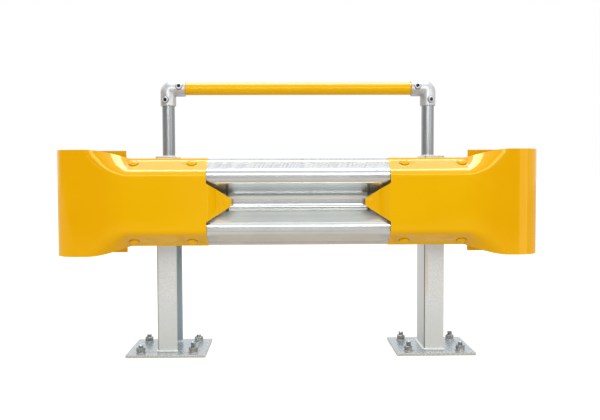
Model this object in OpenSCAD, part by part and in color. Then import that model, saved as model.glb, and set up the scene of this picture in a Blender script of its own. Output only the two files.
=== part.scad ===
// One closed bay of an industrial guard rail: a corrugated steel beam on two
// bolted-down channel posts, with wrap-around ends and a tubular handrail.
// Frame: +X right along the beam, +Y away from the traffic side, +Z up, floor at z = 0.

/* [Bay] */
// Distance between the two posts, centre to centre
post_spacing = 1023; // [900:1:1100]
// How far the middle of the two posts lies to the right of the middle of the beam
post_shift = 12; // [-30:1:30]
// Height of the middle of the beam above the floor
beam_height = 589; // [450:1:680]

/* [Posts] */
// Depth of the channel section, from flange face to flange face
post_depth = 180; // [140:1:220]
// Width of the flanges of the channel section
post_width = 75; // [60:1:90]
// Thickness of the channel section
post_t = 6; // [4:0.5:10]
// Outer radius of the channel's folded corners
post_r = 9; // [7:0.5:12]
// Height of the channel's top end above the middle of the beam
post_rise = 161; // [157:1:260]
// Thickness of the plate that closes the top of each post
post_cap_t = 6; // [4:0.5:10]

/* [Base plates] */
// Side of the square base plate
plate_w = 300; // [260:1:360]
// Thickness of the base plate
plate_t = 10; // [8:1:20]
// Spacing of the anchor holes, both ways
anchor_spacing = 200; // [195:1:220]
// Diameter of the anchor holes
anchor_hole = 22; // [18:1:26]
// Leg of the fillet welds
weld_leg = 6; // [3:0.5:8]

/* [Spacers] */
// Distance the spacer holds between post and beam
spacer_depth = 160; // [120:1:200]
// Width of the spacer's flanges
spacer_width = 75; // [60:1:90]
// Height of the spacer
spacer_h = 290; // [240:1:300]
// Thickness of the spacer
spacer_t = 5; // [4:0.5:8]
// Outer radius of the spacer's folded corners
spacer_r = 8; // [6:0.5:10]
// Height of each spacer bolt above or below the middle of the beam
spacer_bolt_z = 100; // [70:1:110]

/* [Beam] */
// How much longer half of the beam is than half of the post spacing
beam_overhang = 122.5; // [110:0.5:200]
// Thickness of the beam's sheet
beam_t = 3; // [2:0.1:4]
// Depth of the corrugation, from the back of the valley to the front of the crests
beam_depth = 83; // [75:0.5:90]
// Half width of the flat floor of the valley, between its sharp corners
valley_half = 18; // [16:0.5:24]
// Height of the inner shoulder of a crest above or below the middle of the beam
crest_in = 74.5; // [68:0.5:78]
// Height of the outer shoulder of a crest
crest_out = 111.5; // [108:0.5:116]
// Height where the outer slope turns into the lip
lip_in = 147; // [143:0.5:150]
// Height of the edge of the lip, half of the beam's overall height
lip_out = 155.5; // [153:0.5:160]
// Distance of the lip's fold in front of the back of the beam
lip_fold = 8; // [6:0.5:14]
// Distance of the lip's edge in front of the back of the beam
lip_edge = 4; // [3.5:0.5:6]
// Radius of the folds at the crests and in the valley
fold_r = 22; // [14:0.5:24]
// Radius of the folds of the lips
lip_r = 14; // [8:0.5:20]

/* [End caps] */
// How far a cap laps over the beam
cap_lap = 311; // [290:1:330]
// Distance from the start of the cap's flare to the end of the beam
flare_in = 33; // [15:1:34]
// Length of the flare
flare_length = 143; // [125:1:155]
// How far the edge of the flat face climbs along the flare before it turns up
flare_climb = 49; // [40:1:60]
// How much the fold between flat face and slope widens along the flare
flare_soften = 27; // [0:1:40]
// How far a cap reaches past the end of the beam
cap_reach = 222; // [215:1:280]
// Half of the height of the flared end
cap_half_h = 186.5; // [180:0.5:195]
// Radius of the curled end, on its outer face
nose_r = 82; // [60:1:85]
// Length of the flat wing behind, from the curl to its free end
wing_length = 146; // [80:1:170]
// Thickness of the cap's sheet
cap_t = 3; // [2:0.1:5]
// Clearance between the cap and the slopes of the beam that it covers
cap_gap = 0.3; // [0.2:0.1:0.8]
// How much further the cap's flat face stands off the crests of the beam
cap_stand = 10; // [0:0.5:14]
// Distance from the cap's inner edge to the tip of its tongue
tongue_length = 86; // [70:1:100]
// Half of the tongue's height at the cap's edge
tongue_root = 68; // [50:1:70]
// Half of the tongue's height at its tip
tongue_tip = 12.5; // [12:0.5:16]
// How far the tongue's flat part lies behind the cap's face
tongue_drop = 36; // [28:1:40]
// Distance from the cap's inner edge to the start of the tongue's slope
tongue_land = 4; // [3:0.5:10]
// Distance from the cap's inner edge to the tongue's flat part
tongue_bend = 35; // [30:1:44]
// Radius of the tongue's folds
tongue_r = 7; // [4:0.5:8]

/* [Bolts] */
// Distance from the cap's inner edge to its inner bolts
bolt_in = 55; // [40:1:70]
// Distance from the end of the beam to the cap's outer bolts
bolt_out = 50; // [49:1:70]
// Height of the cap bolts above or below the middle of the beam
bolt_z = 135; // [132:0.5:138]
// Diameter of the cap, spacer and beam bolts
bolt_d = 16; // [12:1:18]
// Diameter of the domed bolt heads
head_d = 34; // [28:1:38]
// Height of the domed bolt heads
head_h = 12.5; // [6:0.5:14]
// Size of the nuts and hexagon heads across their flats
nut_af = 24; // [20:1:30]
// Height of the nuts and hexagon heads
nut_h = 13; // [8:1:16]
// Diameter of the bolt through the tongue
tongue_bolt_d = 12; // [8:1:14]
// Clearance round a bolt in its holes and nuts
bolt_gap = 0.5; // [0.3:0.1:1]

/* [Handrail] */
// How far each upright stands inside the middle of its post
upright_inset = 6.5; // [0:0.5:8]
// How far the middle of the handrail lies to the right of the middle of the two posts
upright_shift = -5; // [-6:1:6]
// Height of the handrail's centre line above the floor
handrail_height = 1019; // [950:1:1100]
// Outside diameter of the tubes
tube_d = 48.3; // [42:0.1:52]
// Wall of the tubes
tube_t = 3.2; // [2:0.1:5]
// Outside diameter of the elbow's sockets
elbow_d = 60; // [56:0.5:66]
// Distance from the corner of the centre lines to the end of each socket
elbow_arm = 67; // [55:1:80]
// Chamfer round the mouth of each socket and round each set screw boss
elbow_edge = 2; // [0.5:0.5:3]
// Distance from the corner of the centre lines to the end of each tube
tube_stop = 26; // [25:1:35]
// Radius of the centre line in the elbow's bend
elbow_bend = 15; // [8:0.5:20]
// Clearance round a tube in its socket
tube_gap = 0.3; // [0.2:0.1:0.6]
// Distance from the corner of the centre lines to each set screw
screw_arm = 44; // [38:1:52]
// Turn of the set screws from straight ahead towards the outside of the bend
screw_turn = 15; // [0:1:45]
// Diameter of the set screw bosses
boss_d = 25; // [20:0.5:28]
// Height of the set screw bosses above the socket
boss_h = 4; // [2:0.5:8]
// Diameter of the set screws
screw_d = 13; // [10:0.5:16]

/* [Hidden] */
$fn = 64;
eps = 0.01;

// Sides of the bay
LEFT = -1;
RIGHT = 1;

// The rail's front and back lie at equal distances from y = 0
cap_face = beam_depth + cap_gap + cap_t + cap_stand;
post_y = (post_depth / 2 + spacer_depth + cap_face - plate_w / 2) / 2;
post_front = post_y - post_depth / 2;
beam_back = post_front - spacer_depth;
hole_d = bolt_d + 2 * bolt_gap;
post_top = beam_height + post_rise;
post_cap_top = post_top + post_cap_t;

// Distances from the middle of the beam
beam_end = post_spacing / 2 + beam_overhang;
cap_inner = beam_end - cap_lap;
cap_flare = beam_end - flare_in;
cap_flat = cap_flare + flare_length;
cap_end = beam_end + cap_reach;
wing_end = cap_end - nose_r - wing_length;

// The lip has turned into the slope after this share of the flare
lip_turn = 1 / 6;

// Number of segments in a fold, and of rows in the flare and the curl
FOLD_STEPS = 8;
FLARE_STEPS = 18;
CURL_STEPS = 14;

function post_x(side) = post_shift + side * post_spacing / 2;
function upright_x(side) = post_x(side) + upright_shift - side * upright_inset;

// ---- outlines of folded sheet ----

function unit(v) = v / norm(v);
function turned(v, a) = [v.x * cos(a) - v.y * sin(a), v.x * sin(a) + v.y * cos(a)];
function left_of(v) = [-v.y, v.x];
function cross2(a, b) = a.x * b.y - a.y * b.x;

// Arc that rounds the corner b between a and c
function rounded(a, b, c, r, n) =
    let (u = unit(a - b), v = unit(c - b), bend = 180 - acos(u * v))
    bend < 0.1 ? [for (i = [0:n]) b] :
    let (
        cut = r * tan(bend / 2),
        centre = b + unit(u + v) * r / cos(bend / 2),
        way = cross2(b - a, c - b) > 0 ? 1 : -1
    )
    [for (i = [0:n]) centre + turned(b + u * cut - centre, way * bend * i / n)];

// Line through pts with its inner corners rounded to the radii in r, one for each
function folded(pts, r, n = FOLD_STEPS) = [
    pts[0],
    for (i = [1:len(pts) - 2]) each rounded(pts[i - 1], pts[i], pts[i + 1], r[i - 1], n),
    pts[len(pts) - 1]
];

function way_out(p, i) =
    let (
        a = i == 0 ? p[1] - p[0] : p[i] - p[i - 1],
        b = i == len(p) - 1 ? p[i] - p[i - 1] : p[i + 1] - p[i],
        na = left_of(unit(a)), nb = left_of(unit(b)), n = unit(na + nb)
    )
    n / (n * nb);

// The same line moved sideways by t, to the left for a positive t
function moved(p, t) = [for (i = [0:len(p) - 1]) p[i] + t * way_out(p, i)];
function back_to_front(p) = [for (i = [len(p) - 1:-1:0]) p[i]];
function flipped(p) = [for (i = [len(p) - 1:-1:0]) [-p[i].x, p[i].y]];

// Upper half of the beam's front outline: [height from the middle, distance from the back]
beam_half = [
    [valley_half, beam_t],
    [crest_in, beam_depth],
    [crest_out, beam_depth],
    [lip_in, lip_fold],
    [lip_out, lip_edge]
];
beam_front = concat(flipped(beam_half), beam_half);
beam_radii = [lip_r, fold_r, fold_r, fold_r, fold_r, fold_r, fold_r, lip_r];
// Turn of the fold between a crest and its outer slope
slope_turn = atan2(beam_depth - lip_fold, lip_in - crest_out);

// ---- channel sections and welds ----

// Channel seen from above: web on the left, flanges to the right, centred
module channel(depth, width, t, r) {
    difference() {
        rounded_web(depth, width, r);
        translate([t, 0])
            rounded_web(depth - 2 * t, width, r - t);
    }
}

module rounded_web(depth, width, r) {
    translate([-width / 2 + r, -depth / 2])
        square([width - r, depth]);
    translate([-width / 2, -depth / 2 + r])
        square([r, depth - 2 * r]);
    for (s = [-1, 1])
        translate([-width / 2 + r, s * (depth / 2 - r)])
            circle(r);
}

module weld_profile() {
    polygon([[0, 0], [weld_leg, 0], [weld_leg * 0.45, weld_leg * 0.45], [0, weld_leg]]);
}

// Straight bead along +X, its right angle on the line y = 0, z = 0
module weld_run(length) {
    rotate([90, 0, 90])
        linear_extrude(length)
            weld_profile();
}

// ---- bolts ----

// Bolt along -Z from the seat of its domed head at z = 0
module domed_bolt(d, length) {
    dome_r = (pow(head_d / 2, 2) + pow(head_h, 2)) / (2 * head_h);
    rotate_extrude()
        intersection() {
            translate([0, head_h - dome_r])
                circle(dome_r);
            square([head_d, head_h]);
        }
    translate([0, 0, -length])
        cylinder(d = d, h = length + eps);
}

module hex_bolt(d, length) {
    rotate(30)
        cylinder(d = nut_af / cos(30), h = nut_h, $fn = 6);
    translate([0, 0, -length])
        cylinder(d = d, h = length + eps);
}

module nut(d, af, h) {
    difference() {
        rotate(30)
            cylinder(d = af / cos(30), h = h, $fn = 6);
        translate([0, 0, -1])
            cylinder(d = d + bolt_gap, h = h + 2);
    }
}

// ---- posts ----

module base_plate(side) {
    color("silver")
        translate([post_x(side), post_y, 0])
            difference() {
                translate([-plate_w / 2, -plate_w / 2, 0])
                    cube([plate_w, plate_w, plate_t]);
                for (sx = [-1, 1], sy = [-1, 1])
                    translate([sx * anchor_spacing / 2, sy * anchor_spacing / 2, -1])
                        cylinder(d = anchor_hole, h = plate_t + 2);
            }
}

module spacer_bolt_places(side) {
    for (s = [-1, 1])
        translate([post_x(side) + post_t / 2, post_front, beam_height + s * spacer_bolt_z])
            children();
}

module post(side) {
    color("lightgray")
        difference() {
            translate([post_x(side), post_y, plate_t])
                linear_extrude(post_top - plate_t)
                    channel(post_depth, post_width, post_t, post_r);
            spacer_bolt_places(side)
                rotate([90, 0, 0])
                    cylinder(d = hole_d, h = 4 * post_t, center = true);
        }
}

module foot_weld(side) {
    web = post_depth - 2 * post_r;
    flange = post_width - post_r;
    color("gainsboro")
        translate([post_x(side), post_y, plate_t]) {
            translate([-post_width / 2 + post_r, post_depth / 2, 0])
                weld_run(flange);
            translate([post_width / 2, -post_depth / 2, 0])
                rotate(180)
                    weld_run(flange);
            translate([-post_width / 2, -web / 2, 0])
                rotate(90)
                    weld_run(web);
            for (s = [-1, 1])
                translate([-post_width / 2 + post_r, s * web / 2, 0])
                    rotate(s > 0 ? 90 : 180)
                        rotate_extrude(angle = 90)
                            translate([post_r, 0])
                                weld_profile();
        }
}

module post_cap(side) {
    color("silver")
        translate([post_x(side), post_y, post_top])
            linear_extrude(post_cap_t)
                rounded_web(post_depth, post_width, post_r);
}

// ---- spacers ----

module spacer(side) {
    color("silver")
        difference() {
            translate([post_x(side), post_front - spacer_depth / 2, beam_height - spacer_h / 2])
                linear_extrude(spacer_h)
                    channel(spacer_depth, spacer_width, spacer_t, spacer_r);
            spacer_bolt_places(side)
                rotate([90, 0, 0])
                    cylinder(d = hole_d, h = 4 * spacer_t, center = true);
            beam_bolt_place(side)
                cylinder(d = hole_d, h = 4 * (spacer_t + beam_t), center = true);
        }
}

// Bolt head inside the spacer, nut inside the post
module spacer_bolts(side) {
    color("dimgray")
        spacer_bolt_places(side)
            translate([0, -spacer_t, 0])
                rotate([90, 0, 0])
                    hex_bolt(bolt_d, spacer_t + post_t + nut_h + bolt_d / 4);
}

module spacer_nuts(side) {
    color("dimgray")
        spacer_bolt_places(side)
            translate([0, post_t + nut_h, 0])
                rotate([90, 0, 0])
                    nut(bolt_d, nut_af, nut_h);
}

// ---- beam ----

// Place on the valley's floor, with +Z towards the traffic side
module beam_bolt_place(side) {
    translate([post_x(side) + spacer_t / 2, beam_back, beam_height])
        rotate([90, 0, 0])
            children();
}

// Place on an outer slope of the beam's front, with +Z square to the slope
module slope_place(x, s) {
    out = beam_depth - (bolt_z - crest_out) * tan(slope_turn);
    translate([x, beam_back - out, beam_height + s * bolt_z])
        rotate([s > 0 ? 90 - slope_turn : 90 + slope_turn, 0, 0])
            children();
}

module cap_bolt_places(side) {
    for (x = [cap_inner + bolt_in, beam_end - bolt_out], s = [-1, 1])
        slope_place(side * x, s)
            children();
}

// Place on the valley's floor behind the tongue, with +Z towards the traffic side
module tongue_bolt_place(side) {
    x = cap_inner - tongue_length + tongue_tip + tongue_bolt_d / 2;
    translate([side * x, beam_back, beam_height])
        rotate([90, 0, 0])
            children();
}

module beam() {
    line = folded(beam_front, beam_radii);
    color("lightsteelblue")
        difference() {
            translate([-beam_end, beam_back, beam_height])
                rotate([90, 0, 90])
                    linear_extrude(2 * beam_end)
                        beam_section(line);
            for (side = [LEFT, RIGHT]) {
                beam_bolt_place(side)
                    cylinder(d = hole_d, h = 4 * (spacer_t + beam_t), center = true);
                tongue_bolt_place(side)
                    cylinder(d = tongue_bolt_d + 2 * bolt_gap, h = 4 * beam_t, center = true);
                cap_bolt_places(side)
                    cylinder(d = hole_d, h = 6 * beam_t, center = true);
            }
        }
}

module beam_section(line) {
    outline = concat(line, back_to_front(moved(line, -beam_t)));
    polygon([for (p = outline) [-p.y, p.x]]);
}

// How far the edge of a domed head in the valley rests up the folds beside the floor
valley_flat = valley_half - fold_r * tan(atan2(beam_depth - beam_t, crest_in - valley_half) / 2);
head_over = max(0, head_d / 2 - valley_flat);
head_rise = fold_r - sqrt(pow(fold_r, 2) - pow(head_over, 2)) + bolt_gap / 2;

module beam_bolt(side) {
    color("dimgray")
        beam_bolt_place(side)
            translate([0, 0, beam_t + head_rise])
                domed_bolt(bolt_d, head_rise + beam_t + spacer_t + nut_h + bolt_d / 4);
}

module beam_nut(side) {
    color("dimgray")
        beam_bolt_place(side)
            translate([0, 0, -spacer_t - nut_h])
                nut(bolt_d, nut_af, nut_h);
}

// ---- end caps ----

// Corners of the cap's outer face: [height, distance behind the front face]
fold_reach = (fold_r + cap_t) * tan(slope_turn / 2);
hat = [
    for (p = moved([for (i = [1:4]) beam_half[i]], cap_gap + cap_t))
        [p.x, cap_face - p.y]
];
// Corner where the slope, carried on up to the flat face, meets it
hat_top = hat[1].x - cap_stand / tan(slope_turn);

function share(u, from, to) = max(0, min(1, (u - from) / (to - from)));
function between(a, b, t) = a + (b - a) * t;

// Corners of half the section at a distance u along the cap: hat near the beam, flat plate
// outside. The first two bound the fold: the end of the flat face, and the sharp corner.
function section_corners(u) =
    let (
        s = share(u, cap_flare, cap_flat),
        keep = pow(1 - s, 2),
        start_z = hat_top - fold_reach,
        top_z = cap_half_h * 0.96,
        flat_z = start_z + flare_climb * pow(s, 1.5)
            + (top_z - start_z - flare_climb) * pow(s, 24),
        edge_z = between(hat[3].x, cap_half_h, sin(90 * s)),
        lip = between(hat[3].x - hat[2].x, cap_half_h * 0.02, pow(s, 3)),
        corner_z = min(flat_z + fold_reach + flare_soften * s, between(flat_z, edge_z - lip, 0.6)),
        straight_y = hat[3].y * share(edge_z - lip, corner_z, edge_z),
        lip_y = between(hat[2].y, straight_y, min(1, s / lip_turn))
    )
    [[flat_z, 0], [corner_z, 0], [edge_z - lip, lip_y * keep], [edge_z, hat[3].y * keep]];

// Curve from p to q that leaves and arrives along the lines to b
function curve(p, b, q, n) =
    [for (i = [0:n]) let (t = i / n) between(between(p, b, t), between(b, q, t), t)];

// Curve that softens the corner b between a and c, starting at most reach from it
function softened(a, b, c, reach, n) =
    let (cut = min(reach, 0.45 * norm(a - b), 0.45 * norm(c - b)))
    curve(b + cut * unit(a - b), b, b + cut * unit(c - b), n);

function section_half(u) =
    let (
        c = section_corners(u),
        slope = c[2] - c[1],
        foot = c[1] + unit(slope) * min(c[1].x - c[0].x, 0.7 * norm(slope))
    )
    [
        each curve(c[0], c[1], foot, FOLD_STEPS),
        each softened(foot, c[2], c[3], fold_reach / 3, 2),
        c[3]
    ];

// The whole section from bottom to top, as [height, distance behind the face]
function section(u) = let (h = section_half(u)) concat(flipped(h), [[0, 0]], h);

// Plan of the cap's outer face: [distance from the middle, y] and the way its face looks
curl_centre = [cap_end - nose_r, beam_back - cap_face + nose_r];
function plan_station(u) = [[u, beam_back - cap_face], [0, -1], u];
function curl_station(a) = [curl_centre + nose_r * [sin(a), -cos(a)], [sin(a), -cos(a)], cap_end];
stations = concat(
    [plan_station(cap_inner)],
    [for (i = [0:FLARE_STEPS]) plan_station(between(cap_flare, cap_flat, i / FLARE_STEPS))],
    [for (i = [0:CURL_STEPS]) curl_station(180 * i / CURL_STEPS)],
    [[[wing_end, curl_centre.y + nose_r], [0, 1], cap_end]]
);

// One row of the shell: points of the outer face, then of the inner face
function shell_row(station) =
    let (outer = section(station[2]), inner = moved(outer, cap_t))
    [for (p = concat(outer, inner))
        let (at = station[0] - station[1] * p.y) [at.x, at.y, beam_height + p.x]];

module cap_shell() {
    rows = [for (s = stations) shell_row(s)];
    m = len(rows[0]);
    half = m / 2;
    last = len(rows) - 1;
    // Ring round a section: up the outer face, down the inner face
    ring = [for (i = [0:half - 1]) i, for (i = [m - 1:-1:half]) i];
    polyhedron(
        points = [for (r = rows) each r],
        faces = [
            for (r = [0:last - 1], i = [0:m - 1])
                let (a = ring[i], b = ring[(i + 1) % m], lo = r * m, hi = (r + 1) * m)
                each [[lo + a, lo + b, hi + b], [lo + a, hi + b, hi + a]],
            for (i = [0:half - 2]) each [
                [i + 1, i, half + i],
                [i + 1, half + i, half + i + 1],
                [last * m + i, last * m + i + 1, last * m + half + i],
                [last * m + i + 1, last * m + half + i + 1, last * m + half + i]
            ]
        ],
        convexity = 10
    );
}

// Tapered tongue that closes the gap between the cap's face and the valley
module tongue() {
    tip = cap_inner - tongue_length;
    bend = cap_inner - tongue_bend;
    face = beam_back - cap_face;
    line = folded([
        [cap_inner, face],
        [cap_inner - tongue_land, face],
        [bend, face + tongue_drop],
        [tip, face + tongue_drop]
    ], [tongue_r, tongue_r]);
    difference() {
        intersection() {
            translate([0, 0, beam_height - tongue_root])
                linear_extrude(2 * tongue_root)
                    polygon(concat(line, back_to_front(moved(line, -cap_t))));
            translate([0, beam_back, beam_height])
                rotate([90, 0, 0])
                    linear_extrude(2 * cap_face)
                        polygon([
                            [cap_inner, tongue_root], [tip, tongue_tip],
                            [tip, -tongue_tip], [cap_inner, -tongue_root]
                        ]);
        }
        tongue_bolt_place(RIGHT)
            cylinder(d = tongue_bolt_d + 2 * bolt_gap, h = 2 * cap_face);
    }
}

module end_cap(side) {
    color("gold")
        mirror([side > 0 ? 0 : 1, 0, 0]) {
            difference() {
                cap_shell();
                cap_bolt_places(RIGHT)
                    cylinder(d = hole_d, h = 6 * cap_t, center = true);
            }
            tongue();
        }
}

module cap_bolts(side) {
    color("goldenrod")
        cap_bolt_places(side)
            translate([0, 0, cap_gap + cap_t])
                domed_bolt(bolt_d, cap_t + cap_gap + beam_t + nut_h + bolt_d / 4);
}

module cap_nuts(side) {
    color("dimgray")
        cap_bolt_places(side)
            translate([0, 0, -beam_t - nut_h])
                nut(bolt_d, nut_af, nut_h);
}

module tongue_bolt(side) {
    seat = cap_face - tongue_drop;
    head = 2 * tongue_bolt_d;
    color("gold")
        tongue_bolt_place(side) {
            translate([0, 0, seat])
                cylinder(d1 = head, d2 = head - 2, h = 1.5);
            translate([0, 0, -tongue_bolt_d - tongue_bolt_d / 4])
                cylinder(d = tongue_bolt_d, h = seat + tongue_bolt_d * 1.25 + eps);
        }
}

module tongue_nut(side) {
    color("dimgray")
        tongue_bolt_place(side)
            translate([0, 0, -tongue_bolt_d])
                nut(tongue_bolt_d, tongue_bolt_d * 1.6, tongue_bolt_d);
}

// ---- handrail ----

module tube(length) {
    difference() {
        cylinder(d = tube_d, h = length);
        translate([0, 0, -1])
            cylinder(d = tube_d - 2 * tube_t, h = length + 2);
    }
}

module upright(side) {
    color("silver")
        translate([upright_x(side), post_y, post_cap_top])
            tube(handrail_height - tube_stop - post_cap_top);
}

module upright_weld(side) {
    color("gainsboro")
        translate([upright_x(side), post_y, post_cap_top])
            rotate_extrude()
                translate([tube_d / 2, 0])
                    weld_profile();
}

module handrail() {
    length = upright_x(RIGHT) - upright_x(LEFT) - 2 * tube_stop;
    color("gold")
        translate([upright_x(LEFT) + tube_stop, post_y, handrail_height])
            rotate([0, 90, 0])
                tube(length);
}

// Cylinder with its far edge chamfered
module edged_cylinder(d, h) {
    cylinder(d = d, h = h - elbow_edge);
    translate([0, 0, h - elbow_edge])
        cylinder(d1 = d, d2 = d - 2 * elbow_edge, h = elbow_edge);
}

// Right-hand elbow about the corner of its centre lines: one arm to -X, one to -Z.
// A thinner core ties each arm to the bend.
module elbow_body() {
    for (tip = [0, 90])
        rotate([0, tip, 0])
            mirror([0, 0, 1]) {
                translate([0, 0, elbow_bend])
                    edged_cylinder(elbow_d, elbow_arm - elbow_bend);
                translate([0, 0, elbow_bend / 2])
                    cylinder(d = elbow_d * 0.8, h = elbow_bend);
            }
    translate([-elbow_bend, 0, -elbow_bend])
        rotate([90, 0, 0])
            rotate_extrude(angle = 90)
                intersection() {
                    translate([elbow_bend, 0])
                        circle(d = elbow_d);
                    translate([0, -elbow_d / 2])
                        square([elbow_d, elbow_d]);
                }
}

// Set screw places on the two arms, with +Z out of the socket
module set_screw_places() {
    translate([0, 0, -screw_arm])
        rotate([90, 0, screw_turn])
            children();
    translate([-screw_arm, 0, 0])
        rotate([90 - screw_turn, 0, 0])
            children();
}

module elbow_place(side) {
    translate([upright_x(side), post_y, handrail_height])
        mirror([side > 0 ? 0 : 1, 0, 0])
            children();
}

module elbow(side) {
    color("silver")
        elbow_place(side)
            difference() {
                union() {
                    elbow_body();
                    set_screw_places()
                        edged_cylinder(boss_d, elbow_d / 2 + boss_h);
                }
                for (tip = [0, 90])
                    rotate([0, tip, 0])
                        mirror([0, 0, 1])
                            translate([0, 0, tube_stop - tube_gap])
                                cylinder(d = tube_d + 2 * tube_gap, h = elbow_arm);
                set_screw_places()
                    cylinder(d = screw_d + bolt_gap, h = elbow_d);
            }
}

module set_screws(side) {
    key = screw_d / 2;
    color("black")
        elbow_place(side)
            set_screw_places()
                translate([0, 0, tube_d / 2 + tube_gap])
                    difference() {
                        cylinder(d = screw_d, h = elbow_d / 2 + boss_h / 2 - tube_d / 2);
                        translate([0, 0, key])
                            cylinder(d = key / cos(30), h = elbow_d, $fn = 6);
                    }
}

base_plate(LEFT);  // left_base_plate
base_plate(RIGHT);  // right_base_plate
post(LEFT);  // left_post
post(RIGHT);  // right_post
foot_weld(LEFT);  // left_foot_weld
foot_weld(RIGHT);  // right_foot_weld
post_cap(LEFT);  // left_post_cap
post_cap(RIGHT);  // right_post_cap
spacer(LEFT);  // left_spacer
spacer(RIGHT);  // right_spacer
spacer_bolts(LEFT);  // left_spacer_bolts
spacer_bolts(RIGHT);  // right_spacer_bolts
spacer_nuts(LEFT);  // left_spacer_nuts
spacer_nuts(RIGHT);  // right_spacer_nuts
beam();
beam_bolt(LEFT);  // left_beam_bolt
beam_bolt(RIGHT);  // right_beam_bolt
beam_nut(LEFT);  // left_beam_nut
beam_nut(RIGHT);  // right_beam_nut
end_cap(LEFT);  // left_end_cap
end_cap(RIGHT);  // right_end_cap
cap_bolts(LEFT);  // left_cap_bolts
cap_bolts(RIGHT);  // right_cap_bolts
cap_nuts(LEFT);  // left_cap_nuts
cap_nuts(RIGHT);  // right_cap_nuts
tongue_bolt(LEFT);  // left_tongue_bolt
tongue_bolt(RIGHT);  // right_tongue_bolt
tongue_nut(LEFT);  // left_tongue_nut
tongue_nut(RIGHT);  // right_tongue_nut
upright(LEFT);  // left_upright
upright(RIGHT);  // right_upright
upright_weld(LEFT);  // left_upright_weld
upright_weld(RIGHT);  // right_upright_weld
elbow(LEFT);  // left_elbow
elbow(RIGHT);  // right_elbow
set_screws(LEFT);  // left_set_screws
set_screws(RIGHT);  // right_set_screws
handrail();
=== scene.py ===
# An industrial guard rail bay: looks, small fasteners, floor, light and camera
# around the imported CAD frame. Metres, +X right, +Y away from the viewer, +Z up.
import math

import bmesh
import bpy
from mathutils import Matrix, Vector


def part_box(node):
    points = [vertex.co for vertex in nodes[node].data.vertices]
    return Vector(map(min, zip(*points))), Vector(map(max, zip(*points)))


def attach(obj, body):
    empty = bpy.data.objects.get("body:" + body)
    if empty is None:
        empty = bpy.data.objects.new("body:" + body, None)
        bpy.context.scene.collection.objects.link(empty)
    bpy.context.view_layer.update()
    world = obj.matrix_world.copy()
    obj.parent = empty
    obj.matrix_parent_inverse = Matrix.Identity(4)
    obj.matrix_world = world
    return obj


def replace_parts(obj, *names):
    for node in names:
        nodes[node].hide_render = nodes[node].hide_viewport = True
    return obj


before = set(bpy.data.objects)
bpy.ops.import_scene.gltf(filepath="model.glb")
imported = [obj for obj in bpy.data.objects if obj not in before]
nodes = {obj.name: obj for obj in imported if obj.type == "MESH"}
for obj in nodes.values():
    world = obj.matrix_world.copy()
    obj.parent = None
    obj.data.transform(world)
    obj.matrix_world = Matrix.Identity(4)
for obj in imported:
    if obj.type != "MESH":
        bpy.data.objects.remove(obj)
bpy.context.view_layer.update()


SIDES = ("left", "right")
# Out of the front, towards the viewer
AHEAD = Vector((0, -1, 0))


# ---- sizes, in metres ----

# Points nearer to each other than these are one point: in a node's loose triangles, and in a
# shape made here
SAME_POINT, TINY = 0.00002, 0.000001
# Thickness of the caps' and the beam's sheet, and of the posts' channel with its outer corners
SHEET_T, CHANNEL_T, CHANNEL_R = 0.003, 0.006, 0.009
# Diameter and pitch of the threads, and their nuts' and hexagon heads' size across the flats
M12, M16, M20 = (0.012, 0.00175), (0.016, 0.002), (0.020, 0.0025)
M12_FLATS, M16_FLATS, M20_FLATS = 0.0192, 0.024, 0.030
# Domed heads of the cap and valley bolts; hexagon heads of the spacers' bolts
HEAD_D, HEAD_H, HEX_HEAD_H = 0.034, 0.0125, 0.013
# How far a threaded rod reaches into its head
BITE = 0.0005
# How far the plates' and the post caps' sharp edges are broken
PLATE_EASE, POST_CAP_EASE = 0.0012, 0.0006
# Ring of painted shadow round a domed head, and how far it is shifted towards the floor
SHADOW_RING_D, SHADOW_RING_HOLE, SHADOW_RING_T, SHADOW_RING_DROP = 0.0368, 0.028, 0.0006, 0.0008
# The set screws: their turn from straight ahead, their depth in the bosses, the bosses' radius
SCREW_TURN, SCREW_DEPTH, BOSS_R = math.radians(15), 0.002, 0.0125
# Anchors: spacing both ways, nut, washer, and the holes through them
ANCHOR_SPACING, ANCHOR_NUT_H, ANCHOR_NUT_HOLE = 0.200, 0.0165, 0.0205
WASHER_D, WASHER_HOLE, WASHER_T = 0.039, 0.0215, 0.003
# Height of each anchor stud's top: front left, front right, back left, back right
STUD_TOPS = {"left": (0.0385, 0.0490, 0.0405, 0.0375), "right": (0.0450, 0.0420, 0.0435, 0.0445)}

beam_middle = (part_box("beam")[0][2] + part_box("beam")[1][2]) / 2
# The beam's outer slopes fall back by the first of these over the height of the second
SLOPE_TURN = math.atan2(0.075, 0.0355)
# A fastener nearer to the middle of the beam than this stands in its valley
VALLEY_REACH = 0.06


# ---- shader maths ----

class Value:
    """A shader socket that takes part in Python expressions."""

    def __init__(self, paint, socket):
        self.paint, self.socket = paint, socket

    def maths(self, operation, *others):
        """The result of a Math node on this value and the others."""
        return self.paint.node("ShaderNodeMath", {"operation": operation},
                               {i: v for i, v in enumerate([self, *others])})

    def __add__(self, other):
        return self.maths("ADD", other)

    __radd__ = __add__

    def __mul__(self, other):
        return self.maths("MULTIPLY", other)

    __rmul__ = __mul__

    def __sub__(self, other):
        return self.maths("SUBTRACT", other)

    def __rsub__(self, other):
        return (self * -1.0) + other

    def __truediv__(self, other):
        return self.maths("DIVIDE", other)

    def __pow__(self, other):
        return self.maths("POWER", other)

    def __abs__(self):
        return self.maths("ABSOLUTE")

    def most(self, other):
        """The larger of the two."""
        return self.maths("MAXIMUM", other)


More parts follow.
